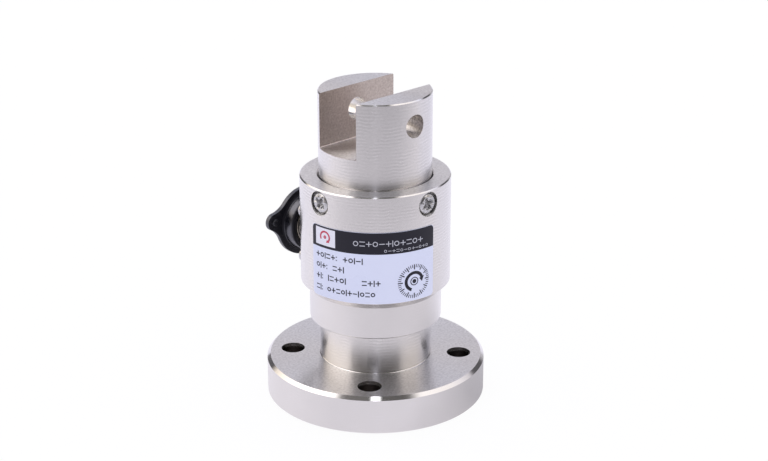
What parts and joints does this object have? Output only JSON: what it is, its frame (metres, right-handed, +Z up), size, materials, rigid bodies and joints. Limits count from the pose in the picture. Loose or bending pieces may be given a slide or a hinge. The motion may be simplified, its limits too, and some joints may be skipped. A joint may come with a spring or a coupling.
{
  "type": "torque sensor",
  "caption": "Static torque sensor: round bolt flange, neck, screwed cover sleeve with a side signal socket and dust cap, and a clevis shaft with a cross pin hole.",
  "frame": {"origin": "centre of the flange's lower face, on the torque axis", "axes": "+Z up the torque axis from the flange to the clevis; the clevis slot runs along X and the cross pin along Y; the signal socket points along +Y"},
  "size_m": [0.06, 0.06, 0.086],
  "materials": {
    "plated_steel": "turned and nickel plated, satin with fine turning marks",
    "zinc_screw": "bright zinc plated, slightly bruised",
    "plated_brass": "nickel plated",
    "black_plastic": "moulded",
    "black_rubber": "moulded",
    "cap_rubber": "moulded, glossy",
    "label_film": "printed film, semi gloss",
    "gold_contact": "gold flash",
    "shrink_tube": "shrunk tube",
    "gauge_foil": "polyimide film",
    "enamel_wire": "enamelled copper",
    "wire_red": "insulation",
    "wire_green": "insulation",
    "wire_white": "insulation",
    "wire_black": "insulation",
    "board": "solder resist",
    "silicone": "cast",
    "resistor": "printed film on ceramic"
  },
  "bodies": {
    "sensor": {"elastic_body": "plated_steel", "cover_sleeve": "plated_steel", "rating_label": "label_film", "socket_shell": "plated_brass", "socket_insert": "black_plastic", "socket_gasket": "black_rubber", "terminal_board": "board", "gauge_coat": "silicone", "upper_seal_ring": "black_rubber", "lower_seal_ring": "black_rubber", "cover_screw_1": "zinc_screw", "socket_screw_1": "zinc_screw", "contact_pin_1": "gold_contact", "cup_sleeve_1": "shrink_tube", "strain_gauge_1": "gauge_foil", "gauge_leads_1": "enamel_wire", "cover_screw_2": "zinc_screw", "socket_screw_2": "zinc_screw", "contact_pin_2": "gold_contact", "cup_sleeve_2": "shrink_tube", "strain_gauge_2": "gauge_foil", "gauge_leads_2": "enamel_wire", "cover_screw_3": "zinc_screw", "socket_screw_3": "zinc_screw", "contact_pin_3": "gold_contact", "cup_sleeve_3": "shrink_tube", "strain_gauge_3": "gauge_foil", "gauge_leads_3": "enamel_wire", "cover_screw_4": "zinc_screw", "socket_screw_4": "zinc_screw", "contact_pin_4": "gold_contact", "cup_sleeve_4": "shrink_tube", "strain_gauge_4": "gauge_foil", "gauge_leads_4": "enamel_wire", "lead_wire_1": "wire_red", "lead_wire_2": "wire_green", "lead_wire_3": "wire_white", "lead_wire_4": "wire_black", "trim_resistor_1": "resistor", "trim_resistor_2": "resistor", "trim_resistor_3": "resistor"},
    "cap": {"dust_cap": "cap_rubber"}
  },
  "joints": [
    {"name": "cap_pull", "type": "slide", "parent": "sensor", "child": "cap", "axis": [0, 1, 0], "range_m": [0, 0.014]}
  ]
}
